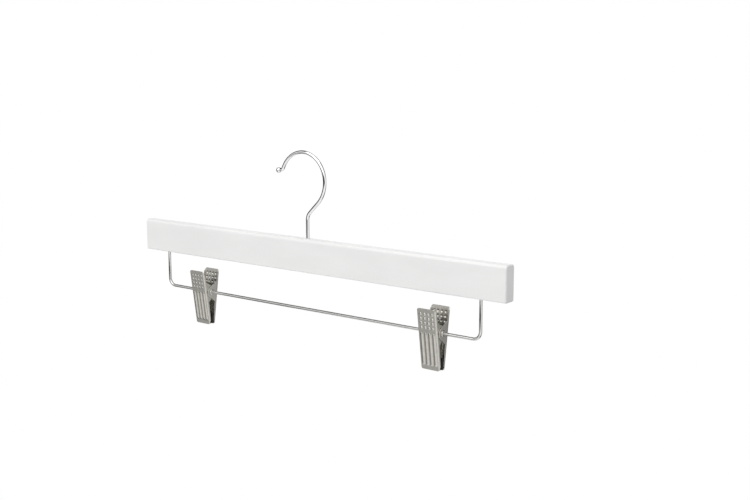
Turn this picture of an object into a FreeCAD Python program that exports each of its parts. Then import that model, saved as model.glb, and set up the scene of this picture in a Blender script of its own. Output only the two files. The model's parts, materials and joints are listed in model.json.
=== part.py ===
# Skirt hanger: a lacquered wooden bar that hangs on a swivelling wire hook, with a wire rail under it
# and two stamped spring clips that slide and swing on the rail.
# Lengths are in millimetres and angles in degrees. X runs along the bar, Y from front to back, Z up.
# The origin is where a wardrobe rail meets the inside of the hook, straight above the hook's shank.
import FreeCAD, Part
import math
import os
from FreeCAD import Vector

# Wooden bar
bar_length = 355.0
bar_height = 25.4
bar_thickness = 10.0
bar_top_round = 2.4
bar_foot_round = 1.0
bar_end_bevel = 0.6

# Hook: a straight shank, a bend to the side, a round loop and an outward flick that carries a ball
hook_wire = 2.6
hook_bend_rise = 14.2
hook_bend_radius = 8.0
hook_neck = 11.3
hook_loop_radius = 21.5
hook_loop_offset = 4.3
hook_loop_end_deg = 155.0
hook_flick_radius = 4.0
hook_flick_deg = 60.0
hook_ball = 4.2
hook_ball_neck = 1.6

# Swivel seat under the bar: counterbore, washer and the hook's upset head
washer_diameter = 6.4
washer_thickness = 0.8
washer_margin = 0.3
seat_depth = 5.0
seat_play = 0.05
swivel_play = 0.08
head_diameter = 4.6
head_height = 1.6
head_bevel = 0.6

# Wire rail, pressed into two sockets under the bar, low enough for a clip to swing right round it
rail_wire = 2.3
rail_inset = 22.5
rail_bend_radius = 6.0
swing_gap = 2.6
socket_depth = 15.0
socket_end_gap = 1.0

# Clip: two like stampings, face to face, each half a sheet and half a play off the clip's middle
left_clip_inset = 41.8
right_clip_inset = 39.0
sheet = 0.8
jaw_width = 16.0
jaw_reach = 26.4
tab_reach = 18.6
jaw_lean_deg = 8.0
pivot_depth = 6.2
fold_radius = 1.0
tab_corner = 2.0
tip_corner = 1.8
side_play = 0.1

# Side flanges of a jaw, seen from the side: tab rim, ear round the pivot, rim that tapers to the tip
tab_rim = 1.2
ear_shoulder = 9.0
ear_radius = 4.6
arch_rim = 1.6
arch_reach = 7.6
tip_rim = 0.9
flange_stop = 2.5

# Embossing: dots on the tab and flutes on the jaw
dot_columns = 4
dot_rows = 4
dot_side_margin = 3.1
dot_top_margin = 3.8
dot_first = 4.9
dot_radius = 0.8
dot_height = 0.4
dot_sides = 6
flute_count = 4
flute_side_margin = 2.8
flute_width = 2.2
flute_height = 0.5
flute_top = 1.5
flute_tip_margin = 3.1
flute_end_slope_deg = 30.0

# Pivot sleeve: a hollow rivet that holds both jaws and slides on the rail
sleeve_wall = 0.35
sleeve_slip = 0.1
sleeve_play = 0.08
lip_height = 0.8
lip_width = 0.5

# Torsion spring round the sleeve
spring_wire = 1.0
spring_play = 0.4
spring_pitch = 1.5
spring_loops = 3
spring_wire_sides = 6
spring_leg = 9.0
spring_foot_bend = 1.5
spring_foot_gap = 0.05

# Rubber pads inside the jaw tips
pad_height = 8.5
pad_inset = 0.3
pad_play = 0.1
pad_corner = 0.4
pad_face_gap = 0.05
pad_grooves = 4
pad_groove_depth = 0.4

# Sides of the hook's and the rail's wire, which is drawn many-sided to keep it light
wire_sides = 12

# Every cut runs this far past what it cuts
overrun = 1.0

# Places worked out from the sizes above
loop_inner = hook_loop_radius - hook_wire / 2
loop_z = -math.sqrt(loop_inner ** 2 - hook_loop_offset ** 2)
loop_reach = hook_bend_radius + hook_loop_radius
loop_side = hook_bend_radius + hook_loop_offset
loop_rise = hook_bend_rise + math.sqrt(loop_reach ** 2 + hook_neck ** 2 - loop_side ** 2)
bar_top = loop_z - loop_rise
bar_foot = bar_top - bar_height
rail_half = bar_length / 2 - rail_inset
rail_z = bar_foot - jaw_reach - swing_gap
left_clip_x = left_clip_inset - rail_half
right_clip_x = rail_half - right_clip_inset
seat_diameter = washer_diameter + 2 * washer_margin
seat_z = bar_foot + seat_depth
lean = math.radians(jaw_lean_deg)
jaw_shift = (sheet + side_play) / 2
sleeve_bore = rail_wire / 2 + sleeve_slip
sleeve_radius = sleeve_bore + sleeve_wall
clip_half = jaw_width / 2 + jaw_shift
coil_radius = sleeve_radius + spring_play + spring_wire / 2

X_AXIS = Vector(1, 0, 0)
Y_AXIS = Vector(0, 1, 0)
Z_AXIS = Vector(0, 0, 1)
CENTRE = Vector(0, 0, 0)


def on_circle(centre, radius, degrees):
    """Point on an upright circle in the plane of the bar."""
    angle = math.radians(degrees)
    return centre + Vector(radius * math.cos(angle), 0, radius * math.sin(angle))


def circle_arc(centre, radius, start_deg, end_deg):
    """Arc of an upright circle in the plane of the bar."""
    middle = (start_deg + end_deg) / 2
    ends = [on_circle(centre, radius, degrees) for degrees in (start_deg, middle, end_deg)]
    return Part.Arc(*ends).toShape()


def line(start, end):
    return Part.LineSegment(start, end).toShape()


def ring_points(centre, radius, sides, first, second):
    """Corners of an even-sided ring, in the plane of two directions."""
    angles = [2 * math.pi * index / sides for index in range(sides)]
    return [centre + first * radius * math.cos(turn) + second * radius * math.sin(turn) for turn in angles]


def bent_wire(edges, start, direction, across, diameter, sides):
    """Many-sided wire along a smooth path, which starts in the direction and square to across."""
    ring = ring_points(start, diameter / 2, sides, across, direction.cross(across))
    return Part.Wire(edges).makePipeShell([Part.makePolygon(ring + ring[:1])], True, False)


def block(low, high):
    size = high - low
    return Part.makeBox(size.x, size.y, size.z, low)


def prism(points, direction):
    """Flat outline of straight runs, drawn out along a direction."""
    outline = Part.makePolygon(points + points[:1])
    return Part.Face(outline).extrude(direction)


def edges_along(shape, axis, keep):
    """Straight edges along an axis whose middle passes the test."""
    found = []
    for edge in shape.Edges:
        if isinstance(edge.Curve, Part.Line) and abs(edge.Curve.Direction.dot(axis)) > 0.999:
            if keep(edge.CenterOfMass):
                found.append(edge)
    return found


def wooden_bar():
    low = Vector(-bar_length / 2, -bar_thickness / 2, bar_foot)
    bar = block(low, Vector(bar_length / 2, bar_thickness / 2, bar_top))
    middle = (bar_top + bar_foot) / 2
    bar = bar.makeFillet(bar_top_round, edges_along(bar, X_AXIS, lambda at: at.z > middle))
    foot_edges = edges_along(bar, X_AXIS, lambda at: at.z < bar_foot + bar_foot_round)
    bar = bar.makeFillet(bar_foot_round, foot_edges)
    ends = [face for face in bar.Faces if abs(face.CenterOfMass.x) > bar_length / 2 - bar_end_bevel]
    bar = bar.makeChamfer(bar_end_bevel, [edge for face in ends for edge in face.Edges])
    hole_foot = Vector(0, 0, bar_foot - overrun)
    bar = bar.cut(Part.makeCylinder(hook_wire / 2 + swivel_play, bar_height + 2 * overrun, hole_foot))
    bar = bar.cut(Part.makeCylinder(seat_diameter / 2, seat_depth + overrun, hole_foot))
    for side in (-1, 1):
        mouth = Vector(side * rail_half, 0, bar_foot - overrun)
        bar = bar.cut(Part.makeCylinder(rail_wire / 2, socket_depth + overrun, mouth))
    return bar


def hook():
    loop = Vector(-hook_loop_offset, 0, loop_z)
    bend = Vector(hook_bend_radius, 0, bar_top + hook_bend_rise)
    between = bend - loop
    start_deg = math.degrees(math.atan2(between.z, between.x) + math.atan2(hook_neck, loop_reach))
    half_turn = 180
    shank_foot = Vector(0, 0, seat_z - seat_play - washer_thickness)
    bend_start = on_circle(bend, hook_bend_radius, half_turn)
    bend_end = on_circle(bend, hook_bend_radius, half_turn + start_deg)
    loop_start = on_circle(loop, hook_loop_radius, start_deg)
    flick = on_circle(loop, hook_loop_radius + hook_flick_radius, hook_loop_end_deg)
    flick_start_deg = hook_loop_end_deg + half_turn
    flick_end_deg = flick_start_deg - hook_flick_deg
    path = [line(shank_foot, bend_start),
            circle_arc(bend, hook_bend_radius, half_turn, half_turn + start_deg),
            line(bend_end, loop_start),
            circle_arc(loop, hook_loop_radius, start_deg, hook_loop_end_deg),
            circle_arc(flick, hook_flick_radius, flick_start_deg, flick_end_deg)]
    wire = bent_wire(path, shank_foot, Z_AXIS, X_AXIS, hook_wire, wire_sides)
    tip = on_circle(flick, hook_flick_radius, flick_end_deg)
    outward = on_circle(CENTRE, hook_ball_neck, flick_end_deg - half_turn / 2)
    ball = Part.makeSphere(hook_ball / 2, tip + outward)
    return wire.fuse(ball).fuse(hook_head(shank_foot)).removeSplitter()


def hook_head(top):
    """Upset head that keeps the washer on the shank."""
    head = Part.makeCylinder(head_diameter / 2, head_height, top - Vector(0, 0, head_height))
    rim = [edge for edge in head.Edges if edge.CenterOfMass.z < top.z - head_height / 2 and edge.Closed]
    return head.makeChamfer(head_bevel, rim)


def hook_washer():
    foot = Vector(0, 0, seat_z - seat_play - washer_thickness)
    disc = Part.makeCylinder(washer_diameter / 2, washer_thickness, foot)
    below = foot - Z_AXIS * overrun
    hole = Part.makeCylinder(hook_wire / 2 + swivel_play, washer_thickness + 2 * overrun, below)
    return disc.cut(hole)


def clip_rail():
    end_z = bar_foot + socket_depth - socket_end_gap
    bend_z = rail_z + rail_bend_radius
    left = Vector(rail_bend_radius - rail_half, 0, bend_z)
    right = Vector(rail_half - rail_bend_radius, 0, bend_z)
    drop = Vector(0, 0, rail_bend_radius)
    side = Vector(rail_bend_radius, 0, 0)
    start = Vector(-rail_half, 0, end_z)
    path = [line(start, left - side),
            circle_arc(left, rail_bend_radius, 180, 270),
            line(left - drop, right - drop),
            circle_arc(right, rail_bend_radius, 270, 360),
            line(right + side, Vector(rail_half, 0, end_z))]
    return bent_wire(path, start, -Z_AXIS, X_AXIS, rail_wire, wire_sides)


def middle_plane(reach):
    """Depth of the clip's middle plane from a jaw's outer face, at a height along the jaw."""
    return pivot_depth + reach * math.tan(lean)


def in_jaw(depth, reach):
    """Point of a jaw's side view: depth from its outer face, reach along it from the pivot."""
    return Vector(0, depth - pivot_depth, reach)


def ear_tangent(point, turn):
    """Where a line from a point of the side view touches the ear's far side."""
    away = math.atan2(point.z, point.y) + turn * math.acos(ear_radius / point.Length)
    return Vector(0, ear_radius * math.cos(away), ear_radius * math.sin(away))


def flange_outline():
    """Side view of a jaw: its plate, tab rim, ear and the tapered rim below it."""
    rim_foot = in_jaw(sheet + tab_rim, ear_shoulder)
    arch = in_jaw(sheet + arch_rim, -arch_reach)
    ear_top = ear_tangent(rim_foot, -1)
    ear_foot = ear_tangent(arch, 1)
    stop = flange_stop - jaw_reach
    rim_top = tab_reach - tab_corner
    corners = [arch,
               in_jaw(sheet + tip_rim, stop),
               in_jaw(sheet, stop),
               in_jaw(sheet, -jaw_reach - overrun),
               in_jaw(-overrun, -jaw_reach - overrun),
               in_jaw(-overrun, tab_reach + overrun),
               in_jaw(sheet, tab_reach + overrun),
               in_jaw(sheet, rim_top),
               in_jaw(sheet + tab_rim, rim_top - tab_rim),
               rim_foot]
    edges = [line(ear_foot, arch)]
    edges += [line(start, end) for start, end in zip(corners, corners[1:])]
    edges += [line(rim_foot, ear_top), Part.Arc(ear_top, Vector(0, ear_radius, 0), ear_foot).toShape()]
    return Part.Wire(edges)


def channel():
    """Folded sheet: a plate with two straight side flanges, the folds rounded outside."""
    half = jaw_width / 2
    far = pivot_depth + ear_radius + overrun
    outer = block(in_jaw(0, -jaw_reach) - X_AXIS * half, in_jaw(far, tab_reach) + X_AXIS * half)
    outer = outer.makeFillet(fold_radius, edges_along(outer, Z_AXIS, lambda at: at.y < 0))
    low = in_jaw(sheet, -jaw_reach - overrun) - X_AXIS * (half - sheet)
    high = in_jaw(far + overrun, tab_reach + overrun) + X_AXIS * (half - sheet)
    return outer.cut(block(low, high))


def plate_outline():
    """Front view of a jaw, with rounded corners, drawn through its whole depth."""
    half = jaw_width / 2
    low = in_jaw(-overrun, -jaw_reach) - X_AXIS * half
    solid = block(low, in_jaw(pivot_depth + ear_radius + overrun, tab_reach) + X_AXIS * half)
    solid = solid.makeFillet(tab_corner, edges_along(solid, Y_AXIS, lambda at: at.z > 0))
    return solid.makeFillet(tip_corner, edges_along(solid, Y_AXIS, lambda at: at.z < 0))


def point_on_plate(centre):
    """Many-sided point that stands out from the plate, rooted halfway through the sheet."""
    root = sheet / 2
    tip = centre - Y_AXIS * dot_height
    radius = dot_radius * (1 + root / dot_height)
    ring = ring_points(centre + Y_AXIS * root, radius, dot_sides, X_AXIS, Z_AXIS)
    faces = [Part.Face(Part.makePolygon(ring + ring[:1]))]
    for start, end in zip(ring, ring[1:] + ring[:1]):
        faces.append(Part.Face(Part.makePolygon([start, end, tip, start])))
    return Part.Solid(Part.Shell(faces))


def tab_dots():
    """Rows of points embossed on the tab."""
    pitch = (jaw_width - 2 * dot_side_margin) / (dot_columns - 1)
    row_pitch = (tab_reach - dot_top_margin - dot_first) / (dot_rows - 1)
    dots = []
    for column in range(dot_columns):
        across = (column - (dot_columns - 1) / 2) * pitch
        for row in range(dot_rows):
            dots.append(point_on_plate(in_jaw(0, dot_first + row * row_pitch) + X_AXIS * across))
    return dots


def flutes():
    """Round ridges down the jaw, their ends sloped off."""
    radius = (flute_width ** 2 / 4 + flute_height ** 2) / (2 * flute_height)
    foot = flute_tip_margin - jaw_reach
    pitch = (jaw_width - 2 * flute_side_margin) / (flute_count - 1)
    front = in_jaw(-flute_height, 0).y
    back = in_jaw(sheet / 2, 0).y
    run = (back - front) / math.tan(math.radians(flute_end_slope_deg))
    ridges = []
    for index in range(flute_count):
        across = (index - (flute_count - 1) / 2) * pitch
        axis_foot = Vector(across, front + radius, foot - overrun)
        rod = Part.makeCylinder(radius, flute_top - foot + 2 * overrun, axis_foot)
        edge = across - radius
        side = [Vector(edge, front, foot + run), Vector(edge, back, foot),
                Vector(edge, back, flute_top), Vector(edge, front, flute_top - run)]
        ridges.append(rod.common(prism(side, X_AXIS * 2 * radius)))
    return ridges


def jaw():
    """One stamping, its pivot at the centre, standing upright before it leans."""
    side = Part.Face(flange_outline()).extrude(X_AXIS * (jaw_width + 2 * overrun))
    side.translate(-X_AXIS * (jaw_width / 2 + overrun))
    stamping = channel().common(side).common(plate_outline())
    stamping = stamping.fuse(tab_dots() + flutes())
    hole = Part.makeCylinder(sleeve_radius + sleeve_play, jaw_width + 2 * overrun,
                             -X_AXIS * (jaw_width / 2 + overrun), X_AXIS)
    return stamping.cut(hole)


def pad():
    """Rubber grip pad against a jaw's plate, flat on the clip's middle plane, with grooves across it."""
    foot = pad_inset - jaw_reach
    top = foot + pad_height
    half = jaw_width / 2 - sheet - pad_play
    side = [in_jaw(sheet, foot), in_jaw(sheet, top),
            in_jaw(middle_plane(top) - pad_face_gap, top), in_jaw(middle_plane(foot) - pad_face_gap, foot)]
    body = prism([at - X_AXIS * half for at in side], X_AXIS * 2 * half)
    back = in_jaw(sheet, 0).y
    outer = [edge for edge in edges_along(body, Z_AXIS, lambda at: abs(at.y - back) < pad_corner)]
    body = body.makeChamfer(pad_corner, outer)
    step = pad_height / (pad_grooves + 1)
    for index in range(pad_grooves):
        reach = foot + (index + 1) * step
        floor = in_jaw(middle_plane(reach) - pad_face_gap - pad_groove_depth, reach)
        spread = pad_groove_depth + overrun
        corners = [floor, floor + Vector(0, spread, spread), floor + Vector(0, spread, -spread)]
        groove = prism([at - X_AXIS * (half + overrun) for at in corners], X_AXIS * 2 * (half + overrun))
        body = body.cut(groove)
    return body


def in_clip(shape, rear):
    """Lean a jaw or pad, move it to its side of the clip and turn a rear one round."""
    placed = shape.copy()
    placed.rotate(CENTRE, X_AXIS, jaw_lean_deg)
    placed.translate(-X_AXIS * jaw_shift)
    if rear:
        placed.rotate(CENTRE, Z_AXIS, 180)
    return placed


def pivot_sleeve():
    inner = clip_half + side_play
    outer = inner + lip_width
    lip = sleeve_radius + lip_height
    outline = [Vector(-outer, sleeve_bore, 0), Vector(-outer, lip - lip_width / 2, 0),
               Vector(-inner, lip, 0), Vector(-inner, sleeve_radius, 0)]
    outline += [Vector(-at.x, at.y, 0) for at in reversed(outline)]
    return Part.Face(Part.makePolygon(outline + outline[:1])).revolve(CENTRE, X_AXIS, 360)


def arc_between(start, corner, end):
    """Arc that leaves start towards the corner and reaches end away from it, both as far from it."""
    middle = (start + end) / 2
    chord = (end - start).Length / 2
    sweep = math.acos(chord / (corner - start).Length)
    crown = middle + (corner - middle).normalize() * chord * math.tan(sweep / 2)
    return Part.Arc(start, crown, end).toShape()


def biarc(start, start_way, end, end_way):
    """Two arcs that join smoothly between two points with given directions."""
    gap = end - start
    ways = start_way + end_way
    fold = 2 * (1 - start_way.dot(end_way))
    reach = (math.sqrt(gap.dot(ways) ** 2 + fold * gap.dot(gap)) - gap.dot(ways)) / fold
    corners = [start + start_way * reach, end - end_way * reach]
    joint = (corners[0] + corners[1]) / 2
    return [arc_between(start, corners[0], joint), arc_between(joint, corners[1], end)]


def coil_point(turn_deg, rise):
    """Place and direction on the spring's coil, which climbs along X."""
    angle = math.radians(turn_deg)
    place = Vector(rise, coil_radius * math.cos(angle), coil_radius * math.sin(angle))
    climb = spring_pitch / (2 * math.pi)
    way = Vector(climb, -coil_radius * math.sin(angle), coil_radius * math.cos(angle))
    return place, way.normalize()


def leg_edges(place, up, outward):
    """Leg up from the coil, bent square to the tab it presses on."""
    foot_run = pivot_depth - sheet - coil_radius - spring_foot_bend - spring_foot_gap
    bend_start = place + up * spring_leg
    corner = bend_start + up * spring_foot_bend
    bend_end = corner + outward * spring_foot_bend
    end = bend_end + outward * foot_run
    return [line(place, bend_start), arc_between(bend_start, corner, bend_end), line(bend_end, end)], end


def least_gap(path, diameter):
    """Least gap between stretches of the wire that lie more than half a coil apart along it."""
    points = path.discretize(Distance=diameter / 4)
    skip = math.ceil(math.pi * coil_radius / (diameter / 4))
    pairs = ((a, b) for i, a in enumerate(points) for b in points[i + skip:])
    return min((b - a).Length for a, b in pairs) - diameter


def spring():
    start_deg = 180 + jaw_lean_deg
    end_deg = 360 * spring_loops - jaw_lean_deg
    spread = (end_deg - start_deg) / 360 * spring_pitch
    halves = round((end_deg - start_deg) / 180)
    stations = []
    for index in range(halves + 1):
        share = index / halves
        turn_deg = start_deg + share * (end_deg - start_deg)
        stations.append(coil_point(turn_deg, (share - 1 / 2) * spread))
    coil = []
    for (start, start_way), (end, end_way) in zip(stations, stations[1:]):
        coil += biarc(start, start_way, end, end_way)
    front_out = Vector(0, -math.cos(lean), -math.sin(lean))
    rear_out = Vector(0, math.cos(lean), -math.sin(lean))
    front_leg, front_end = leg_edges(stations[0][0], -stations[0][1], front_out)
    rear_leg, _ = leg_edges(stations[-1][0], stations[-1][1], rear_out)
    path = Part.__sortEdges__(front_leg[::-1] + coil + rear_leg)
    print("spring: least gap to itself %.2f mm" % least_gap(Part.Wire(path), spring_wire))
    return bent_wire(path, front_end, -front_out, X_AXIS, spring_wire, spring_wire_sides)


def clip_pieces():
    stamping = jaw()
    rubber = pad()
    return {"pivot_sleeve": pivot_sleeve(),
            "front_jaw": in_clip(stamping, False),
            "rear_jaw": in_clip(stamping, True),
            "front_pad": in_clip(rubber, False),
            "rear_pad": in_clip(rubber, True),
            "spring": spring()}


def all_pieces():
    pieces = {"wooden_bar": wooden_bar(),
              "hook": hook(),
              "hook_washer": hook_washer(),
              "clip_rail": clip_rail()}
    clip = clip_pieces()
    for name, clip_x in (("left", left_clip_x), ("right", right_clip_x)):
        for piece, shape in clip.items():
            placed = shape.copy()
            placed.translate(Vector(clip_x, 0, rail_z))
            pieces[name + "_" + piece] = placed
    return pieces


def main():
    os.makedirs("parts", exist_ok=True)
    for name, shape in all_pieces().items():
        state = (name, shape.isValid(), len(shape.Solids), shape.Volume)
        print("%-20s valid %s, solids %d, volume %.1f" % state)
        shape.exportStep("parts/" + name + ".step")


main()
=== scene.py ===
import json
import math

import bpy
import numpy as np
from mathutils import Matrix, Vector
from mathutils.geometry import delaunay_2d_cdt

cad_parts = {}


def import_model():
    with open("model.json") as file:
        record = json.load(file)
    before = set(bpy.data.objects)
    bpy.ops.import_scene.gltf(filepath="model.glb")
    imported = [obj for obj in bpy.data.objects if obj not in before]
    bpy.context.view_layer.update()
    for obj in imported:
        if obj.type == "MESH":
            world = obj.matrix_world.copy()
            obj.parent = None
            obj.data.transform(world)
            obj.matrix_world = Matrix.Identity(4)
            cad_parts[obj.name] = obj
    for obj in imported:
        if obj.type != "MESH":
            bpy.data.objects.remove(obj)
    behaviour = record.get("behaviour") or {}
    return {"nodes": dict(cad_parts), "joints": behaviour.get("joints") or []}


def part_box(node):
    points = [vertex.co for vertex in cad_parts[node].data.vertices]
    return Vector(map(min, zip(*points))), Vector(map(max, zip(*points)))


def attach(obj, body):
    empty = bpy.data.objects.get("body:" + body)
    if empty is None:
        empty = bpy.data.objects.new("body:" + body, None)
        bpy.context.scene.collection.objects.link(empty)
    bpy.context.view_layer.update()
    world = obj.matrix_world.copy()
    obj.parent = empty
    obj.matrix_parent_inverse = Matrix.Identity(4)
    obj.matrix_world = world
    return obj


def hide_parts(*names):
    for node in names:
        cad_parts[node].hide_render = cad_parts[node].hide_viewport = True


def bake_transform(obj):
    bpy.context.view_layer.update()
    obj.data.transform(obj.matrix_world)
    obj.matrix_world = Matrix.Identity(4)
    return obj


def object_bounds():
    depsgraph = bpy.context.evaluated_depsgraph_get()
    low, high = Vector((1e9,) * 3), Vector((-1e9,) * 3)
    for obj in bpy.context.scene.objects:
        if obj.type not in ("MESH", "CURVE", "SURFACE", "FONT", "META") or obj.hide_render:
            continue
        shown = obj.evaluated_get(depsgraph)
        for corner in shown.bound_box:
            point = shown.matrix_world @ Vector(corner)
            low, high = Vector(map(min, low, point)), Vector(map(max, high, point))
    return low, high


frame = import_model()
cad_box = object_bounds()

# Sizes are in millimetres and angles in degrees, as in the part's source. Meshes are made in metres.
MM = 0.001
SAME_POINT = 1e-6
CREASE = 40.0

# Hook
HOOK_WIRE = 2.6
HOOK_BEND_RISE = 14.2
HOOK_BEND_RADIUS = 8.0
HOOK_NECK = 11.3
HOOK_LOOP_RADIUS = 21.5
HOOK_LOOP_OFFSET = 4.3
HOOK_LOOP_END = 155.0
HOOK_FLICK_RADIUS = 4.0
HOOK_FLICK = 60.0
HOOK_BALL = 4.2
HOOK_BALL_NECK = 1.6
HEAD_DIAMETER = 4.6
HEAD_HEIGHT = 1.6
HEAD_ROUND = 0.6
HEAD_EDGE = 0.12
HEAD_EDGE_TOP = 0.04
HEAD_FILLET = 0.05

# Rail
RAIL_WIRE = 2.3
RAIL_BEND_RADIUS = 6.0
RAIL_END_RUN = 0.2
RAIL_END_EDGE = 0.15

# A direction that no wire starts along, from which its sides are counted
WIRE_ASIDE = (0.3, 1.0, 0.2)

# How finely the wires are drawn
WIRE_SIDES = 28
ARC_STEP = 4.0
FLICK_STEP = 6.0
HEAD_STEPS = 4
BALL_STEPS = 14
BALL_LEAST_RISE = 0.05
BALL_POLE = 0.02

# Softened edges of the bar, the washer and the pads
BAR_SOFTENING = 0.45
WASHER_SOFTENING = 0.1
PAD_SOFTENING = 0.15
SOFTENING_STEPS = 3
SOFTENED_ABOVE = 30.0
WELD_GAP = 0.001

# Clip stamping
SHEET = 0.8
JAW_WIDTH = 16.0
JAW_REACH = 26.4
TAB_REACH = 18.6
JAW_LEAN = 8.0
JAW_SHIFT = 0.45
PIVOT_DEPTH = 6.2
PIVOT_HOLE = 1.68
FOLD_RADIUS = 1.0
FOLD_RUN = 0.94
TAB_CORNER = 2.0
TIP_CORNER = 1.8
TAB_RIM = 1.2
EAR_SHOULDER = 9.0
EAR_RADIUS = 4.6
ARCH_RIM = 1.6
ARCH_REACH = 7.6
TIP_RIM = 0.9
FLANGE_STOP = 2.5
EDGE_BREAK = 0.12

# Embossing of the stamping
DOT_COLUMNS = 4
DOT_ROWS = 4
DOT_SIDE_MARGIN = 3.1
DOT_TOP_MARGIN = 3.8
DOT_FIRST = 4.9
DOT_RADIUS = 1.05
DOT_FLANK = 1.3
DOT_HEIGHT = 0.52
FLUTE_COUNT = 4
FLUTE_SIDE_MARGIN = 2.8
FLUTE_HALF = 1.5
FLUTE_HEIGHT = 0.55
FLUTE_TOP = 1.5
FLUTE_TIP_MARGIN = 3.1
FLUTE_RUN_OUT = 1.6

# How finely the stamping is drawn
OUTLINE_STEP = 0.4
FINE_STEP = 0.2
MEDIUM_STEP = 0.65
COARSE_STEP = 1.3
FOLD_STEPS = 6
CORNER_STEPS = 8
EAR_STEPS = 32
HOLE_SIDES = 36

# Triangles of the stamping: all inside its outline, those in its holes too, until they are taken out
INSIDE_OUTLINE = 1
POINT_PRECISION = 1e-7

# Pivot sleeve
SLEEVE_BORE = 1.25
SLEEVE_RADIUS = 1.6
SLEEVE_INNER = 8.55
SLEEVE_OUTER = 9.05
SLEEVE_EDGE = 0.12
SLEEVE_SIDES = 40
LIP_RADIUS = 2.4
LIP_STEPS = 6

# Torsion spring
SPRING_WIRE = 1.0
SPRING_RADIUS = 2.5
SPRING_PITCH = 1.5
SPRING_LOOPS = 3
SPRING_LEG = 9.0
SPRING_LEG_START = 0.4
SPRING_FOOT_BEND = 1.5
SPRING_FOOT_GAP = 0.05
SPRING_END_EDGE = 0.1
SPRING_SIDES = 14
COIL_STEP = 8.0
FOOT_STEPS = 8

# Textures: how far noise is drawn out along each axis, and the ranges of it that show
EVEN = (1, 1, 1)
ALONG_X = (0.04, 1, 1)
ALONG_Z = (1, 1, 0.04)
ALONG_GRAIN = (0.03, 1, 1)
ALONG_CLOUDS = (0.35, 1, 1)
NOISE_ROUGHNESS = 0.55
NOISE_RANGE = (0.3, 0.7)
SHADE_RANGE = (0.45, 0.75)
LINE_SCALE = 2600.0
LINE_SHADE = 0.86
SPECK_SCALE = 1900.0
PLATING_RELIEF = 0.01

# Camera, in metres and degrees
CAMERA_PLACE = (0.55903, -0.62896, 0.070956)
CAMERA_YAW = 38.19
CAMERA_PITCH = 9.64
CAMERA_LENS = 54.31
CAMERA_SENSOR = 36.0

# Floor, in metres. It fades from nearly white to white between two distances from the origin.
FLOOR_DROP = 0.3
FLOOR_RADIUS = 0.3
FLOOR_SIDES = 96
FLOOR_GREY = 0.9
FLOOR_WHITE = 0.8
FLOOR_FADE = (0.46, 0.53)

# Lamps, in metres and watts
LAMP_TARGET = (0, 0, -0.09)
KEY_PLACE = (0.0, -1.25, 0.95)
KEY_SIZE = (2.0, 1.6)
KEY_POWER = 9.6
TOP_PLACE = (0.0, 0.1, 1.3)
TOP_SIZE = (1.4, 1.0)
TOP_POWER = 4.8

# Soft fill: grey levels from the left, at -1, to the right, at 1
ALONG_BAR = (1, 0, 0)
FILL = ((-1.0, 1.0), (1.0, 0.55))

# Room that metal mirrors, in fixed directions: grey levels from the room's back, at -1, to its front, at 1.
# The softbox has its levels from straight away from it, at -1, to straight towards it, at 1.
UPWARD = (0, 0, 1)
TO_FRONT = (0.61, -0.775, 0.17)
TO_RIGHT = (0.786, 0.618, 0)
TO_SOFTBOX = (-0.6, -0.74, 0.3)
UNDER = ((-1.0, 0.05), (0.15, 0.1), (0.35, 0.9), (1.0, 1.0))
TABLE = (
    (-1.0, 1.0), (-0.93, 1.0), (-0.86, 0.12), (-0.42, 0.2), (-0.14, 0.54),
    (0.02, 0.52), (0.13, 0.46), (0.3, 0.75), (0.45, 1.0), (1.0, 1.0),
)
LEFT_WALL = ((-1.0, 1.0), (-0.93, 1.0), (-0.86, 0.01), (0.97, 0.02), (1.0, 0.7))
RIGHT_WALL = (
    (-1.0, 1.0), (-0.93, 1.0), (-0.86, 0.4), (-0.15, 0.42),
    (0.05, 0.8), (0.3, 1.0), (1.0, 1.0),
)
CEILING = (
    (-1.0, 1.0), (-0.93, 1.0), (-0.86, 0.02), (0.0, 0.03),
    (0.3, 0.9), (0.5, 1.0), (1.0, 1.0),
)
SOFTBOX = ((-1.0, 0.0), (0.92, 0.0), (0.95, 1.0), (1.0, 1.0))

# Edges between the parts of the room: right of the left wall, then by height
SIDE_EDGE = (0.0, 0.3)
TABLE_FROM = (-0.68, -0.52)
WALLS_FROM = (-0.26, -0.12)
CEILING_FROM = (0.05, 0.2)

# Where a ramp's new stop lies until it gets its own place
NEW_STOP = 0.5


# Mesh helpers

def make_piece(name, points, faces, material):
    """Piece from points in millimetres, smooth but for edges sharper than the crease."""
    mesh = bpy.data.meshes.new(name)
    mesh.from_pydata([Vector(point) * MM for point in points], [], faces)
    mesh.update()
    mesh.shade_smooth()
    mesh.set_sharp_from_angle(angle=math.radians(CREASE))
    mesh.materials.append(material)
    piece = bpy.data.objects.new(name, mesh)
    bpy.context.scene.collection.objects.link(piece)
    return piece


def stands_for(piece, body, node):
    """Let a piece ride on a body in place of a CAD node."""
    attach(piece, body)
    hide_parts(node)


def unit(vector):
    """Vector of the same direction, one long."""
    return vector / np.linalg.norm(vector)


def sweep(path, radii, sides):
    """Round tube along a path with a radius at each point, its ends closed: points and faces."""
    path = np.array(path, float)
    before = np.vstack([path[:1], path[:-1]])
    after = np.vstack([path[1:], path[-1:]])
    ways = np.array([unit(b - a) for a, b in zip(before, after)])
    across = unit(np.cross(ways[0], WIRE_ASIDE))
    angles = np.arange(sides) * 2 * math.pi / sides
    points, faces = [], []
    for index, (place, way, radius) in enumerate(zip(path, ways, radii)):
        across = unit(across - way * np.dot(across, way))
        up = np.cross(way, across)
        points += [place + radius * (math.cos(a) * across + math.sin(a) * up) for a in angles]
        if index:
            base = (index - 1) * sides
            for k in range(sides):
                n = (k + 1) % sides
                faces.append((base + k, base + n, base + sides + n, base + sides + k))
    last = (len(path) - 1) * sides
    faces.append(tuple(range(sides - 1, -1, -1)))
    faces.append(tuple(range(last, last + sides)))
    return points, faces


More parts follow.
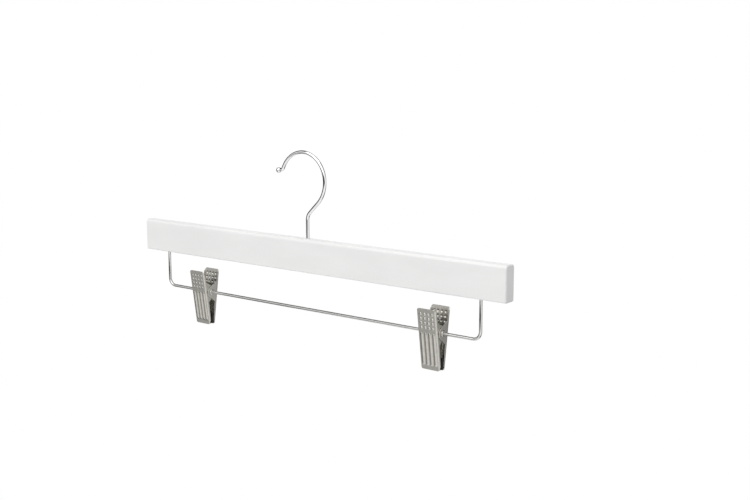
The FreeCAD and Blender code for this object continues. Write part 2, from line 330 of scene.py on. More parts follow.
def lathe(outline, sides):
    """Ring turned about X from a closed outline of (along, radius) points: points and faces."""
    points, faces = [], []
    count = len(outline)
    for k in range(sides):
        angle = 2 * math.pi * k / sides
        points += [(along, radius * math.cos(angle), radius * math.sin(angle)) for along, radius in outline]
        n = (k + 1) % sides
        for j in range(count):
            m = (j + 1) % count
            faces.append((k * count + j, k * count + m, n * count + m, n * count + j))
    return points, faces


def arc(centre, radius, start, end, step=ARC_STEP):
    """Points along an arc in the upright plane of the bar, both ends included."""
    count = max(2, math.ceil(abs(end - start) / step))
    angles = [math.radians(start + (end - start) * k / count) for k in range(count + 1)]
    x, _, z = centre
    return [np.array((x + radius * math.cos(a), 0, z + radius * math.sin(a))) for a in angles]


def joined(*runs):
    """Runs of points as one path, without the points that two runs share."""
    path = []
    for run in runs:
        for point in run:
            if not path or np.linalg.norm(np.array(point) - path[-1]) > SAME_POINT:
                path.append(np.array(point, float))
    return path


# Materials

def new_material(name):
    """Material with its node tree and its shader."""
    material = bpy.data.materials.new(name)
    material.use_nodes = True
    return material, material.node_tree, material.node_tree.nodes["Principled BSDF"]


def set_inputs(node, values):
    """Set a node's inputs by name."""
    for name, value in values.items():
        node.inputs[name].default_value = value


def noise(tree, stretch, scale, detail):
    """Noise over the piece's own coordinates, drawn out along the axes whose stretch is small."""
    where = tree.nodes.new("ShaderNodeTexCoord")
    mapping = tree.nodes.new("ShaderNodeMapping")
    texture = tree.nodes.new("ShaderNodeTexNoise")
    set_inputs(mapping, {"Scale": stretch})
    set_inputs(texture, {"Scale": scale, "Detail": detail, "Roughness": NOISE_ROUGHNESS})
    tree.links.new(where.outputs["Object"], mapping.inputs["Vector"])
    tree.links.new(mapping.outputs["Vector"], texture.inputs["Vector"])
    return texture.outputs["Fac"]


def ranged(tree, value, result, over=NOISE_RANGE):
    """One range of a value, spread over another."""
    spread = tree.nodes.new("ShaderNodeMapRange")
    set_inputs(spread, {"From Min": over[0], "From Max": over[1], "To Min": result[0], "To Max": result[1]})
    tree.links.new(value, spread.inputs["Value"])
    return spread.outputs["Result"]


def tinted(tree, value, dark, light):
    """Colour between two tints, by a texture."""
    ramp = tree.nodes.new("ShaderNodeValToRGB")
    for element, place, tint in zip(ramp.color_ramp.elements, NOISE_RANGE, (dark, light)):
        element.position = place
        element.color = (*tint, 1)
    tree.links.new(value, ramp.inputs["Fac"])
    return ramp.outputs["Color"]


def shaded(tree, colour, value, tint, strength):
    """Colour multiplied by a tint where a texture is high."""
    mix = tree.nodes.new("ShaderNodeMix")
    mix.data_type = "RGBA"
    mix.blend_type = "MULTIPLY"
    mix.inputs["B"].default_value = (*tint, 1)
    tree.links.new(ranged(tree, value, (0, strength), SHADE_RANGE), mix.inputs["Factor"])
    tree.links.new(colour, mix.inputs["A"])
    return mix.outputs["Result"]


def bumped(tree, height, depth, strength, below=None):
    """Normal of a texture's relief, its depth in millimetres, over the relief below it."""
    bump = tree.nodes.new("ShaderNodeBump")
    set_inputs(bump, {"Strength": strength, "Distance": depth * MM})
    tree.links.new(height, bump.inputs["Height"])
    if below:
        tree.links.new(below, bump.inputs["Normal"])
    return bump.outputs["Normal"]


def connect(tree, shader, colour, rough, normal):
    """Join a material's textures to its shader."""
    tree.links.new(colour, shader.inputs["Base Color"])
    tree.links.new(rough, shader.inputs["Roughness"])
    tree.links.new(normal, shader.inputs["Normal"])


def white_lacquer():
    """Sprayed lacquer over wood: a trace of the grain along the bar, fine orange peel, faint clouding."""
    material, tree, shader = new_material("white_lacquer")
    clouds = noise(tree, ALONG_CLOUDS, scale=60.0, detail=2.0)
    grain = noise(tree, ALONG_GRAIN, scale=900.0, detail=5.0)
    peel = noise(tree, EVEN, scale=1400.0, detail=1.0)
    colour = tinted(tree, clouds, dark=(0.815, 0.815, 0.81), light=(0.85, 0.85, 0.845))
    colour = shaded(tree, colour, grain, tint=(0.97, 0.967, 0.96), strength=0.25)
    rough = ranged(tree, grain, (0.36, 0.42))
    normal = bumped(tree, grain, depth=0.02, strength=0.06)
    normal = bumped(tree, peel, depth=0.02, strength=0.12, below=normal)
    connect(tree, shader, colour, rough, normal)
    set_inputs(shader, {"Coat Weight": 0.25, "Coat Roughness": 0.18, "IOR": 1.48})
    return material


def plated(name, dark, light, rough, clouding, scratch, drawn=EVEN):
    """Plated steel: clouded plating, drawn or brushed lines along the piece and fine specks."""
    material, tree, shader = new_material(name)
    clouds = noise(tree, EVEN, scale=clouding, detail=3.0)
    lines = noise(tree, drawn, scale=LINE_SCALE, detail=4.0)
    specks = noise(tree, EVEN, scale=SPECK_SCALE, detail=2.0)
    line_tint = tuple(LINE_SHADE * level / max(light) for level in light)
    colour = shaded(tree, tinted(tree, clouds, dark, light), lines, tint=line_tint, strength=0.4)
    normal = bumped(tree, lines, PLATING_RELIEF, scratch)
    normal = bumped(tree, specks, PLATING_RELIEF, scratch / 2, below=normal)
    connect(tree, shader, colour, ranged(tree, lines, rough), normal)
    set_inputs(shader, {"Metallic": 1.0})
    return material


def black_rubber():
    """Moulded rubber: matt, with a fine bloom and a pebbled skin."""
    material, tree, shader = new_material("black_rubber")
    bloom = noise(tree, EVEN, scale=350.0, detail=3.0)
    skin = noise(tree, EVEN, scale=2600.0, detail=2.0)
    colour = tinted(tree, bloom, dark=(0.014, 0.014, 0.015), light=(0.034, 0.033, 0.032))
    rough = ranged(tree, skin, (0.55, 0.75))
    normal = bumped(tree, skin, depth=0.04, strength=0.5)
    connect(tree, shader, colour, rough, normal)
    set_inputs(shader, {"Specular IOR Level": 0.4})
    return material


LACQUER = white_lacquer()
CHROME = plated(
    "chromed_wire", dark=(0.84, 0.845, 0.85), light=(0.93, 0.93, 0.93),
    rough=(0.05, 0.12), clouding=220.0, scratch=0.06)
RAIL_CHROME = plated(
    "rail_chrome", dark=(0.63, 0.63, 0.625), light=(0.73, 0.725, 0.715),
    rough=(0.12, 0.22), clouding=260.0, scratch=0.1, drawn=ALONG_X)
NICKEL = plated(
    "plated_sheet", dark=(0.565, 0.55, 0.505), light=(0.645, 0.63, 0.585),
    rough=(0.25, 0.35), clouding=320.0, scratch=0.05, drawn=ALONG_Z)
RIVET = plated(
    "plated_rivet", dark=(0.62, 0.61, 0.585), light=(0.74, 0.73, 0.70),
    rough=(0.16, 0.26), clouding=500.0, scratch=0.1)
SPRING_STEEL = plated(
    "spring_steel", dark=(0.40, 0.40, 0.41), light=(0.52, 0.515, 0.51),
    rough=(0.24, 0.36), clouding=700.0, scratch=0.12)
WASHER_STEEL = plated(
    "washer_steel", dark=(0.50, 0.50, 0.49), light=(0.62, 0.615, 0.60),
    rough=(0.28, 0.42), clouding=600.0, scratch=0.2)
RUBBER = black_rubber()


# Bar, hook and rail

bar_top = (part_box("wooden_bar")[1] / MM).z
rail_low, rail_high = (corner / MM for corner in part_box("clip_rail"))
washer_underside = (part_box("hook_washer")[0] / MM).z


def soften(node, material, width):
    """Give a CAD node a material and break its sharp edges with a small round."""
    node.data.materials.clear()
    node.data.materials.append(material)
    weld = node.modifiers.new("weld", "WELD")
    weld.merge_threshold = WELD_GAP * MM
    bevel = node.modifiers.new("soft_edges", "BEVEL")
    bevel.width = width * MM
    bevel.segments = SOFTENING_STEPS
    bevel.limit_method = "ANGLE"
    bevel.angle_limit = math.radians(SOFTENED_ABOVE)
    bevel.harden_normals = True


def hook_head():
    """Height and radius of the rings of the upset head, from its underside up to the wire."""
    wire = HOOK_WIRE / 2
    head = HEAD_DIAMETER / 2
    top = washer_underside
    foot = top - HEAD_HEIGHT
    rings = []
    for k in range(HEAD_STEPS + 1):
        angle = math.radians(90 * k / HEAD_STEPS)
        height = foot + HEAD_ROUND * (1 - math.cos(angle))
        rings.append((height, head - HEAD_ROUND * (1 - math.sin(angle))))
    rings.append((top - HEAD_EDGE, head))
    rings.append((top - HEAD_EDGE_TOP, head - HEAD_EDGE + HEAD_EDGE_TOP))
    rings.append((top, wire + HEAD_FILLET))
    rings.append((top + HEAD_FILLET, wire))
    return rings


def hook_bends():
    """Path of the wire from the shank's bend round the loop to its tip, and the way it points there."""
    loop_reach = HOOK_BEND_RADIUS + HOOK_LOOP_RADIUS
    loop_side = HOOK_BEND_RADIUS + HOOK_LOOP_OFFSET
    rise = HOOK_BEND_RISE + math.sqrt(loop_reach ** 2 + HOOK_NECK ** 2 - loop_side ** 2)
    loop = (-HOOK_LOOP_OFFSET, 0, bar_top + rise)
    bend = (HOOK_BEND_RADIUS, 0, bar_top + HOOK_BEND_RISE)
    between = math.atan2(bend[2] - loop[2], bend[0] - loop[0])
    start = math.degrees(between + math.atan2(HOOK_NECK, loop_reach))
    flick_reach = HOOK_LOOP_RADIUS + HOOK_FLICK_RADIUS
    turn = math.radians(HOOK_LOOP_END)
    flick = (loop[0] + flick_reach * math.cos(turn), 0, loop[2] + flick_reach * math.sin(turn))
    flick_start = HOOK_LOOP_END + 180
    flick_end = flick_start - HOOK_FLICK
    path = joined(
        arc(bend, HOOK_BEND_RADIUS, 180, 180 + start),
        arc(loop, HOOK_LOOP_RADIUS, start, HOOK_LOOP_END),
        arc(flick, HOOK_FLICK_RADIUS, flick_start, flick_end, FLICK_STEP))
    outward = math.radians(flick_end - 90)
    return path, np.array((math.cos(outward), 0, math.sin(outward)))


def hook():
    """Chromed wire from its upset head up round the loop to the ball on its tip, in one skin."""
    wire = HOOK_WIRE / 2
    ball = HOOK_BALL / 2
    head = hook_head()
    bends, way = hook_bends()
    path = [np.array((0, 0, height)) for height, _ in head] + bends
    radii = [radius for _, radius in head] + [wire] * len(bends)
    neck = math.asin(wire / ball)
    for k in range(1, BALL_STEPS + 1):
        angle = neck + (math.pi - neck) * k / BALL_STEPS
        along = HOOK_BALL_NECK - ball * math.cos(angle)
        path.append(bends[-1] + way * max(along, BALL_LEAST_RISE * k))
        radii.append(max(ball * math.sin(angle), BALL_POLE))
    piece = make_piece("hook_wire", *sweep(path, radii, WIRE_SIDES), CHROME)
    stands_for(piece, "hook", "hook")


def rail():
    """Drawn wire bent to a wide U, the edges of its two ends broken."""
    wire = RAIL_WIRE / 2
    half = rail_high.x - wire
    high = rail_high.z
    bend_x = half - RAIL_BEND_RADIUS
    bend_z = rail_low.z + wire + RAIL_BEND_RADIUS
    path = joined(
        [(-half, 0, high), (-half, 0, high - RAIL_END_RUN)],
        arc((-bend_x, 0, bend_z), RAIL_BEND_RADIUS, 180, 270),
        arc((bend_x, 0, bend_z), RAIL_BEND_RADIUS, 270, 360),
        [(half, 0, high - RAIL_END_RUN), (half, 0, high)])
    radii = [wire] * len(path)
    radii[0] = radii[-1] = wire - RAIL_END_EDGE
    piece = make_piece("rail_wire", *sweep(path, radii, WIRE_SIDES), RAIL_CHROME)
    stands_for(piece, "bar", "clip_rail")


# Clip stamping, drawn as its flat blank

PLATE_HALF = JAW_WIDTH / 2 - FOLD_RADIUS
FOLD_END = PLATE_HALF + FOLD_RUN


def blank_at(depth):
    """How far out on the flat blank a depth of the folded flange lies."""
    if depth >= FOLD_RADIUS:
        return FOLD_END + depth - FOLD_RADIUS
    return PLATE_HALF + FOLD_RUN * math.acos(1 - depth / FOLD_RADIUS) / (math.pi / 2)


def folded(across, reach, inward):
    """Where a point of the blank ends up once folded: a height in the sheet is measured inward."""
    side = 1 if across >= 0 else -1
    out = abs(across)
    if out <= PLATE_HALF:
        return (across, inward - PIVOT_DEPTH, reach)
    if out <= FOLD_END:
        angle = (out - PLATE_HALF) / FOLD_RUN * math.pi / 2
        x = PLATE_HALF + (FOLD_RADIUS - inward) * math.sin(angle)
        return (side * x, FOLD_RADIUS - (FOLD_RADIUS - inward) * math.cos(angle) - PIVOT_DEPTH, reach)
    return (side * (JAW_WIDTH / 2 - inward), FOLD_RADIUS + out - FOLD_END - PIVOT_DEPTH, reach)


def ear_tangent(depth, reach, turn):
    """Angle at which a line from a point of the side view touches the ear."""
    y, z = depth - PIVOT_DEPTH, reach
    return math.atan2(z, y) + turn * math.acos(EAR_RADIUS / math.hypot(y, z))


def corner_arc(centre, radius, start, end, steps=CORNER_STEPS):
    """Points along an arc of the blank, both ends included."""
    angles = [math.radians(start + (end - start) * k / steps) for k in range(steps + 1)]
    return [(centre[0] + radius * math.cos(a), centre[1] + radius * math.sin(a)) for a in angles]


def blank_half():
    """Right half of the blank's outline, from the jaw's tip up to the tab."""
    edge = blank_at(SHEET)
    stop = FLANGE_STOP - JAW_REACH
    rim_top = TAB_REACH - TAB_CORNER
    rim = SHEET + TAB_RIM
    arch = SHEET + ARCH_RIM
    ear_start = math.degrees(ear_tangent(arch, -ARCH_REACH, 1))
    ear_end = math.degrees(ear_tangent(rim, EAR_SHOULDER, -1))
    points = corner_arc((edge - TIP_CORNER, TIP_CORNER - JAW_REACH), TIP_CORNER, -90, 0)
    points.append((edge, stop))
    points.append((blank_at(SHEET + TIP_RIM), stop))
    points.append((blank_at(arch), -ARCH_REACH))
    points += corner_arc((blank_at(PIVOT_DEPTH), 0), EAR_RADIUS, ear_start, ear_end, EAR_STEPS)
    points.append((blank_at(rim), EAR_SHOULDER))
    points.append((blank_at(rim), rim_top - TAB_RIM))
    points.append((edge, rim_top))
    points += corner_arc((edge - TAB_CORNER, rim_top), TAB_CORNER, 0, 90)
    return points


def divided(points, step):
    """Closed outline with its long runs divided and doubled points left out."""
    result = []
    for start, end in zip(points, points[1:] + points[:1]):
        start, end = np.array(start), np.array(end)
        length = np.linalg.norm(end - start)
        if length < SAME_POINT:
            continue
        count = max(1, math.ceil(length / step))
        result += [start + (end - start) * k / count for k in range(count)]
    return np.array(result)


def blank_loops():
    """The blank's outline, anticlockwise, and its two pivot holes, clockwise."""
    right = blank_half()
    outline = divided(right + [(-x, z) for x, z in reversed(right)], OUTLINE_STEP)
    pivot = blank_at(PIVOT_DEPTH)
    holes = [corner_arc((side * pivot, 0), PIVOT_HOLE, 360, 0, HOLE_SIDES)[:-1] for side in (-1, 1)]
    return [outline] + [np.array(hole) for hole in holes]


def inset(loop, width):
    """Outline moved to its left by a width: into the sheet, round the outline and the holes alike."""
    before = loop - np.roll(loop, 1, axis=0)
    after = np.roll(loop, -1, axis=0) - loop
    before /= np.linalg.norm(before, axis=1)[:, None]
    after /= np.linalg.norm(after, axis=1)[:, None]
    way = before + after
    way /= np.linalg.norm(way, axis=1)[:, None]
    return loop + width * np.stack([-way[:, 1], way[:, 0]], axis=1)


def inside(points, loop):
    """Which points lie inside a closed outline."""
    result = np.zeros(len(points), bool)
    for (ax, ay), (bx, by) in zip(loop, np.roll(loop, -1, axis=0)):
        crosses = (ay > points[:, 1]) != (by > points[:, 1])
        if ay != by:
            at = ax + (points[:, 1] - ay) * (bx - ax) / (by - ay)
            result ^= crosses & (points[:, 0] < at)
    return result


def nearest(points, loop):
    """Distance from each point to the nearest point of an outline."""
    return np.min(np.linalg.norm(points[:, None, :] - loop[None, :, :], axis=2), axis=1)


def smooth_step(value, start, end):
    """Smooth rise from 0 at the start to 1 at the end."""
    share = np.clip((value - start) / (end - start), 0, 1)
    return share * share * (3 - 2 * share)


def embossing(across, reach):
    """How far the sheet is pressed outward at points of the blank: dots on the tab, flutes on the jaw."""
    height = np.zeros(len(across))
    column_pitch = (JAW_WIDTH - 2 * DOT_SIDE_MARGIN) / (DOT_COLUMNS - 1)
    row_pitch = (TAB_REACH - DOT_TOP_MARGIN - DOT_FIRST) / (DOT_ROWS - 1)
    for column in range(DOT_COLUMNS):
        for row in range(DOT_ROWS):
            x = (column - (DOT_COLUMNS - 1) / 2) * column_pitch
            share = np.hypot(across - x, reach - DOT_FIRST - row * row_pitch) / DOT_RADIUS
            height += DOT_HEIGHT * np.maximum(1 - share ** 2, 0) ** DOT_FLANK
    flute_pitch = (JAW_WIDTH - 2 * FLUTE_SIDE_MARGIN) / (FLUTE_COUNT - 1)
    foot = FLUTE_TIP_MARGIN - JAW_REACH
    ends = smooth_step(FLUTE_TOP - reach, 0, FLUTE_RUN_OUT) * smooth_step(reach - foot, 0, FLUTE_RUN_OUT)
    for index in range(FLUTE_COUNT):
        share = np.abs(across - (index - (FLUTE_COUNT - 1) / 2) * flute_pitch) / FLUTE_HALF
        height += FLUTE_HEIGHT * ends * np.where(share < 1, np.cos(share * math.pi / 2) ** 2, 0)
    return height


def spaced(start, end, step):
    """Even places from start to end, at most a step apart."""
    return list(np.linspace(start, end, max(2, math.ceil((end - start) / step) + 1)))


def blank_grid():
    """Points over the blank, close together where it is embossed or folded."""
    folds = spaced(PLATE_HALF, FOLD_END, FOLD_RUN / FOLD_STEPS)[1:]
    columns = [-x for x in folds[::-1]] + spaced(-PLATE_HALF, PLATE_HALF, FINE_STEP) + folds
    flute_foot = FLUTE_TIP_MARGIN - JAW_REACH
    dots_top = TAB_REACH - DOT_TOP_MARGIN + DOT_RADIUS
    stretches = (
        (-JAW_REACH, MEDIUM_STEP),
        (flute_foot, FINE_STEP),
        (flute_foot + FLUTE_RUN_OUT, COARSE_STEP),
        (FLUTE_TOP - FLUTE_RUN_OUT, FINE_STEP),
        (FLUTE_TOP, MEDIUM_STEP),
        (DOT_FIRST - DOT_RADIUS, FINE_STEP),
        (dots_top, MEDIUM_STEP),
    )
    ends = [start for start, _ in stretches[1:]] + [TAB_REACH]
    rows = [-JAW_REACH]
    for (start, step), end in zip(stretches, ends):
        rows += spaced(start, end, step)[1:]
    points = [(x, z) for z in rows for x in columns]
    far = blank_at(PIVOT_DEPTH + EAR_RADIUS)
    for x in spaced(FOLD_END + COARSE_STEP, far, COARSE_STEP):
        flange_rows = spaced(-JAW_REACH, TAB_REACH, COARSE_STEP)
        points += [(side * x, z) for side in (-1, 1) for z in flange_rows]
    return np.array(points)


def blank_skin(loops):
    """Triangles over the blank between its outline and its holes: points, faces and each loop's points."""
    outline, *holes = loops
    grid = blank_grid()
    keep = inside(grid, outline) & (nearest(grid, outline) > EDGE_BREAK)
    for hole in holes:
        keep &= ~inside(grid, hole) & (nearest(grid, hole) > EDGE_BREAK)
    given = [Vector(point) for point in np.vstack(loops + [grid[keep]])]
    edges, owned = [], []
    for loop in loops:
        first = len(edges)
        count = len(loop)
        owned.append(range(first, first + count))
        edges += [(first + k, first + (k + 1) % count) for k in range(count)]
    found = delaunay_2d_cdt(given, edges, [], INSIDE_OUTLINE, POINT_PRECISION)
    flat = np.array([tuple(point) for point in found[0]])
    place = {owners[0]: index for index, owners in enumerate(found[3]) if owners}
    middles = np.array([flat[list(face)].mean(axis=0) for face in found[2]])
    pierced = np.any([inside(middles, hole) for hole in holes], axis=0)
    faces = [tuple(face) for face, gone in zip(found[2], pierced) if not gone]
    return flat, faces, [[place[index] for index in indices] for indices in owned]


def stamping():
    """One jaw: the blank's two faces, embossed and folded, joined by a rounded rim."""
    loops = blank_loops()
    flat, skin, rims = blank_skin([inset(loop, EDGE_BREAK) for loop in loops])
    pressed = embossing(flat[:, 0], flat[:, 1])
    points = [folded(x, z, -h) for (x, z), h in zip(flat, pressed)]
    points += [folded(x, z, SHEET - h) for (x, z), h in zip(flat, pressed)]
    count = len(flat)
    faces = skin + [tuple(count + index for index in reversed(face)) for face in skin]
    for loop, rim in zip(loops, rims):
        rows = [rim]
        for inward in (EDGE_BREAK, SHEET - EDGE_BREAK):
            rows.append(list(range(len(points), len(points) + len(loop))))
            points += [folded(x, z, inward) for x, z in loop]
        rows.append([count + index for index in rim])
        for upper, lower in zip(rows, rows[1:]):
            for k in range(len(loop)):
                n = (k + 1) % len(loop)
                faces.append((upper[n], upper[k], lower[k], lower[n]))
    lean = Matrix.Translation((-JAW_SHIFT, 0, 0)) @ Matrix.Rotation(math.radians(JAW_LEAN), 4, "X")
    return [lean @ Vector(point) for point in points], faces


# Other pieces of a clip

def sleeve():
    """Hollow rivet, its two lips rolled over."""
    roll = SLEEVE_OUTER - SLEEVE_INNER
    half = [(SLEEVE_OUTER - SLEEVE_EDGE, SLEEVE_BORE), (SLEEVE_OUTER, SLEEVE_BORE + SLEEVE_EDGE)]
    for k in range(LIP_STEPS + 1):
        angle = math.radians(90 * k / LIP_STEPS)
        half.append((SLEEVE_INNER + roll * math.cos(angle), LIP_RADIUS - roll + roll * math.sin(angle)))
    half.append((SLEEVE_INNER, SLEEVE_RADIUS))
    outline = half + [(-along, radius) for along, radius in reversed(half)]
    return lathe(outline, SLEEVE_SIDES)


def spring_leg(place, up, outward):
    """Leg up from the coil, bent square to the tab it presses on."""
    foot_run = PIVOT_DEPTH - SHEET - SPRING_RADIUS - SPRING_FOOT_BEND - SPRING_FOOT_GAP
    bend_start = place + up * SPRING_LEG
    centre = bend_start + outward * SPRING_FOOT_BEND
    points = [place + up * SPRING_LEG_START, bend_start]
    for k in range(1, FOOT_STEPS + 1):
        angle = math.radians(90 * k / FOOT_STEPS)
        points.append(centre + SPRING_FOOT_BEND * (up * math.sin(angle) - outward * math.cos(angle)))
    bend_end = points[-1]
    points.append(bend_end + outward * (foot_run - SPRING_END_EDGE))
    points.append(bend_end + outward * foot_run)
    return points


def spring():
    """Torsion spring round the sleeve, a leg up each tab: points, faces and half the coil's width."""
    start, end = 180 + JAW_LEAN, 360 * SPRING_LOOPS - JAW_LEAN
    spread = (end - start) / 360 * SPRING_PITCH
    climb = SPRING_PITCH / (2 * math.pi)
    steps = round((end - start) / COIL_STEP)
    coil, ways = [], []
    for k in range(steps + 1):
        share = k / steps
        turn = math.radians(start + share * (end - start))
        y, z = SPRING_RADIUS * math.cos(turn), SPRING_RADIUS * math.sin(turn)
        coil.append(np.array(((share - 0.5) * spread, y, z)))
        ways.append(unit(np.array((climb, -z, y))))
    lean = math.radians(JAW_LEAN)
    front = spring_leg(coil[0], -ways[0], np.array((0, -math.cos(lean), -math.sin(lean))))
    rear = spring_leg(coil[-1], ways[-1], np.array((0, math.cos(lean), -math.sin(lean))))
    path = joined(front[::-1], coil, rear)
    radii = [SPRING_WIRE / 2] * len(path)
    radii[0] = radii[-1] = SPRING_WIRE / 2 - SPRING_END_EDGE
    return (*sweep(path, radii, SPRING_SIDES), spread / 2)


def clip(side, jaw, rivet, wound):
    """The pieces of one clip, round its pivot on the rail."""
    joint = next(joint for joint in frame["joints"] if joint["name"] == side + "_jaw_open")
    pivot = Vector(joint["pos_m"])
    at_pivot = Matrix.Translation(pivot)
    for face, turn in (("front", 0), ("rear", 180)):
        body = side + "_" + face
        piece = make_piece(body + "_stamping", *jaw, NICKEL)
        piece.matrix_world = at_pivot @ Matrix.Rotation(math.radians(turn), 4, "Z")
        stands_for(piece, body, body + "_jaw")
        soften(frame["nodes"][body + "_pad"], RUBBER, PAD_SOFTENING)
    piece = make_piece(side + "_hollow_rivet", *rivet, RIVET)
    piece.matrix_world = at_pivot
    stands_for(piece, side + "_sleeve", side + "_pivot_sleeve")
    points, faces, reach = wound
    piece = make_piece(side + "_wound_spring", points, faces, SPRING_STEEL)
    piece.matrix_world = at_pivot
    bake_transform(piece)
    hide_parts(side + "_spring")


# Stage, light and camera

def any_ray(tree, *names):
    """1 for rays of any of the kinds named."""
    rays = tree.nodes.new("ShaderNodeLightPath")
    total = rays.outputs[names[0]]
    for name in names[1:]:
        either = tree.nodes.new("ShaderNodeMath")
        either.operation = "MAXIMUM"
        tree.links.new(total, either.inputs[0])
        tree.links.new(rays.outputs[name], either.inputs[1])
        total = either.outputs[0]
    return total


def mixed(tree, share, first, second):
    """One shader, and a share of another."""
    mix = tree.nodes.new("ShaderNodeMixShader")
    tree.links.new(share, mix.inputs["Fac"])
    tree.links.new(first, mix.inputs[1])
    tree.links.new(second, mix.inputs[2])
    return mix.outputs[0]


def floor():
    """Round pale floor, white to the eye but for the object's soft shadow, pure white at its rim."""
    material = bpy.data.materials.new("pale_floor")
    material.use_nodes = True
    tree = material.node_tree
    tree.nodes.clear()
    matt = tree.nodes.new("ShaderNodeBsdfDiffuse")
    set_inputs(matt, {"Color": (FLOOR_GREY, FLOOR_GREY, FLOOR_GREY, 1)})
    white = tree.nodes.new("ShaderNodeEmission")
    where = tree.nodes.new("ShaderNodeTexCoord")
    away = tree.nodes.new("ShaderNodeVectorMath")
    away.operation = "LENGTH"
    tree.links.new(where.outputs["Object"], away.inputs[0])
    share = tree.nodes.new("ShaderNodeMath")
    share.operation = "MULTIPLY"
    seen = any_ray(tree, "Is Camera Ray", "Is Glossy Ray", "Is Transmission Ray")
    tree.links.new(seen, share.inputs[0])
    tree.links.new(ranged(tree, away.outputs["Value"], (FLOOR_WHITE, 1), FLOOR_FADE), share.inputs[1])
    output = tree.nodes.new("ShaderNodeOutputMaterial")
    surface = mixed(tree, share.outputs[0], matt.outputs[0], white.outputs[0])
    tree.links.new(surface, output.inputs["Surface"])

    low = (cad_box[0].z - FLOOR_DROP) / MM
    radius = FLOOR_RADIUS / MM
    turns = [2 * math.pi * k / FLOOR_SIDES for k in range(FLOOR_SIDES)]
    rim = [(radius * math.cos(turn), radius * math.sin(turn), low) for turn in turns]
    make_piece("floor", rim, [tuple(range(FLOOR_SIDES))], material)


def levels(tree, value, stops):
    """Grey level by a value from -1 to 1, along stops of value and level."""
    ramp = tree.nodes.new("ShaderNodeValToRGB")
    elements = ramp.color_ramp.elements
    while len(elements) < len(stops):
        elements.new(NEW_STOP)
    for element, (place, level) in zip(elements, stops):
        element.position = (place + 1) / 2
        element.color = (level, level, level, 1)
    tree.links.new(ranged(tree, value, (0, 1), (-1, 1)), ramp.inputs["Fac"])
    return ramp.outputs["Color"]


def facing(tree, way):
    """How far a direction of the room faces a given way."""
    where = tree.nodes.new("ShaderNodeTexCoord")
    product = tree.nodes.new("ShaderNodeVectorMath")
    product.operation = "DOT_PRODUCT"
    product.inputs[1].default_value = way
    tree.links.new(where.outputs["Generated"], product.inputs[0])
    return product.outputs["Value"]


def blended(tree, value, edge, first, second):
    """One colour below an edge, another above it."""
    mix = tree.nodes.new("ShaderNodeMix")
    mix.data_type = "RGBA"
    tree.links.new(ranged(tree, value, (0, 1), edge), mix.inputs["Factor"])
    tree.links.new(first, mix.inputs["A"])
    tree.links.new(second, mix.inputs["B"])
    return mix.outputs["Result"]


def room_colour(tree):
    """What metal mirrors: the floor under it, a table, a dark and a grey wall, a ceiling and a softbox."""
    front = facing(tree, TO_FRONT)
    rise = facing(tree, UPWARD)
    under, table, left_wall, right_wall, ceiling = (
        levels(tree, front, stops) for stops in (UNDER, TABLE, LEFT_WALL, RIGHT_WALL, CEILING))
    walls = blended(tree, facing(tree, TO_RIGHT), SIDE_EDGE, left_wall, right_wall)
    colour = blended(tree, rise, TABLE_FROM, under, table)
    colour = blended(tree, rise, WALLS_FROM, colour, walls)
    colour = blended(tree, rise, CEILING_FROM, colour, ceiling)
    lit = tree.nodes.new("ShaderNodeMix")
    lit.data_type = "RGBA"
    lit.blend_type = "LIGHTEN"
    lit.inputs["Factor"].default_value = 1
    tree.links.new(colour, lit.inputs["A"])
    tree.links.new(levels(tree, facing(tree, TO_SOFTBOX), SOFTBOX), lit.inputs["B"])
    return lit.outputs["Result"]


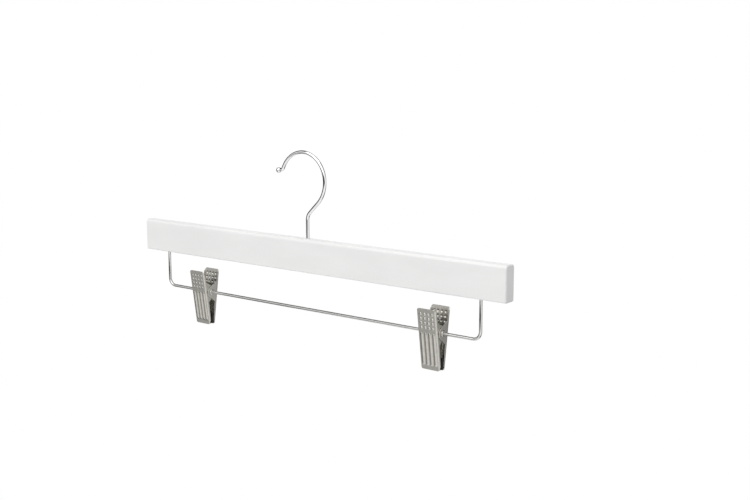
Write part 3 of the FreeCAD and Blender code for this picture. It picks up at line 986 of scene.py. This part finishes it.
def world():
    """White background, a room for metal to mirror, and a soft fill on the rest, weaker from the right."""
    studio = bpy.data.worlds.new("studio")
    bpy.context.scene.world = studio
    studio.use_nodes = True
    tree = studio.node_tree
    tree.nodes.clear()
    fill = tree.nodes.new("ShaderNodeBackground")
    tree.links.new(levels(tree, facing(tree, ALONG_BAR), FILL), fill.inputs["Color"])
    room = tree.nodes.new("ShaderNodeBackground")
    tree.links.new(room_colour(tree), room.inputs["Color"])
    white = tree.nodes.new("ShaderNodeBackground")
    set_inputs(white, {"Color": (1, 1, 1, 1), "Strength": 1.0})
    light = mixed(tree, any_ray(tree, "Is Glossy Ray"), fill.outputs[0], room.outputs[0])
    seen = any_ray(tree, "Is Camera Ray", "Is Transmission Ray")
    output = tree.nodes.new("ShaderNodeOutputWorld")
    tree.links.new(mixed(tree, seen, light, white.outputs[0]), output.inputs["Surface"])


def aimed(name, data, place, ahead):
    """Lamp or camera at a place, looking a given way."""
    holder = bpy.data.objects.new(name, data)
    bpy.context.scene.collection.objects.link(holder)
    holder.location = place
    holder.rotation_euler = ahead.to_track_quat("-Z", "Y").to_euler()
    return holder


def lamp(name, place, size, power):
    """Flat soft lamp, aimed at the object."""
    light = bpy.data.lights.new(name, "AREA")
    light.shape = "RECTANGLE"
    light.size, light.size_y = size
    light.energy = power
    aimed(name, light, place, Vector(LAMP_TARGET) - Vector(place))


def camera():
    """Camera at the photograph's viewing angle."""
    yaw, pitch = math.radians(CAMERA_YAW), math.radians(CAMERA_PITCH)
    ahead = Vector((-math.sin(yaw) * math.cos(pitch), math.cos(yaw) * math.cos(pitch), -math.sin(pitch)))
    eye = bpy.data.cameras.new("camera")
    eye.sensor_fit = "HORIZONTAL"
    eye.sensor_width = CAMERA_SENSOR
    eye.lens = CAMERA_LENS
    bpy.context.scene.camera = aimed("camera", eye, CAMERA_PLACE, ahead)


soften(frame["nodes"]["wooden_bar"], LACQUER, BAR_SOFTENING)
soften(frame["nodes"]["hook_washer"], WASHER_STEEL, WASHER_SOFTENING)
hook()
rail()
jaw, rivet, wound = stamping(), sleeve(), spring()
for side in ("left", "right"):
    clip(side, jaw, rivet, wound)
floor()
world()
lamp("key", KEY_PLACE, KEY_SIZE, KEY_POWER)
lamp("top", TOP_PLACE, TOP_SIZE, TOP_POWER)
camera()
bpy.context.scene.view_settings.view_transform = "Standard"
